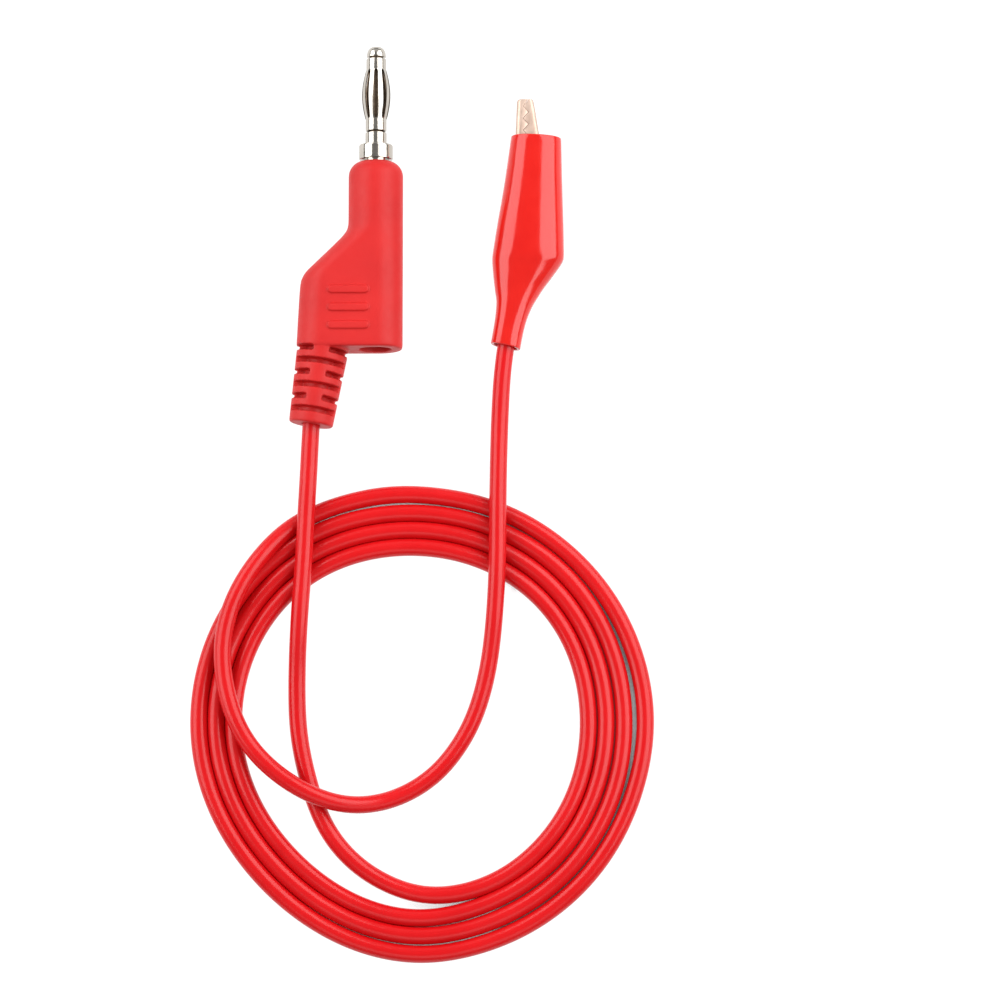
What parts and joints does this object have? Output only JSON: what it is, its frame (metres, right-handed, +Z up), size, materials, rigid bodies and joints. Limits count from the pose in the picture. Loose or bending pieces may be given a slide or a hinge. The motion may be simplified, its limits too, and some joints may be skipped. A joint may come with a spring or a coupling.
{
  "type": "alligator clip lead",
  "caption": "Red test lead: stackable banana plug with lantern spring pin and rear socket, coiled insulated cable, and a booted alligator clip with sprung toothed jaws.",
  "frame": {"origin": "on the surface that the lead lies on, under the middle of the box round the plug and the clip", "axes": "+Y from the cable end of the plug to the tip of its pin, and from the boot's tail to the jaw tips; +Z up from the surface, parallel to the jaw pivot; +X from the plug to the clip"},
  "size_m": [0.0774, 0.1484, 0.009],
  "materials": {
    "red_moulding": "fine matte red moulding",
    "nickel": "bright nickel plating",
    "solder": "tin solder",
    "copper_wire": "stranded bare copper",
    "cable_jacket": "semi-gloss red flexible jacket",
    "coppered_jaw": "pale copper plating on stamped steel",
    "spring_steel": "plain spring steel",
    "red_boot": "glossy red flexible vinyl"
  },
  "bodies": {
    "lead": {"plug_housing": "red_moulding", "plug_core": "nickel", "plug_solder": "solder", "plug_conductor": "copper_wire", "cable_end_in_plug": "cable_jacket", "cable_plug_lead": "cable_jacket", "cable_coil": "cable_jacket", "cable_clip_lead": "cable_jacket", "cable_end_in_clip": "cable_jacket", "clip_conductor": "copper_wire", "clip_lower_jaw": "coppered_jaw", "clip_pivot_rivet": "spring_steel", "clip_spring": "spring_steel", "clip_boot": "red_boot"},
    "upper_jaw": {"clip_upper_jaw": "coppered_jaw"},
    "spring_cage": {"spring_cage": "nickel"}
  },
  "joints": [
    {"name": "jaw_open", "type": "hinge", "parent": "lead", "child": "upper_jaw", "pos_m": [0.0165, 0.0076, 0.004], "axis": [0, 0, -1], "range_deg": [0, 25], "stiffness_Nm_per_rad": 0.12, "springref_deg": -20.05, "deforming": ["clip_spring", "clip_boot"]},
    {"name": "cage_spin", "type": "hinge", "parent": "lead", "child": "spring_cage", "pos_m": [-0.0084, 0.0235, 0.00435], "axis": [0, 1, 0], "continuous": true}
  ]
}
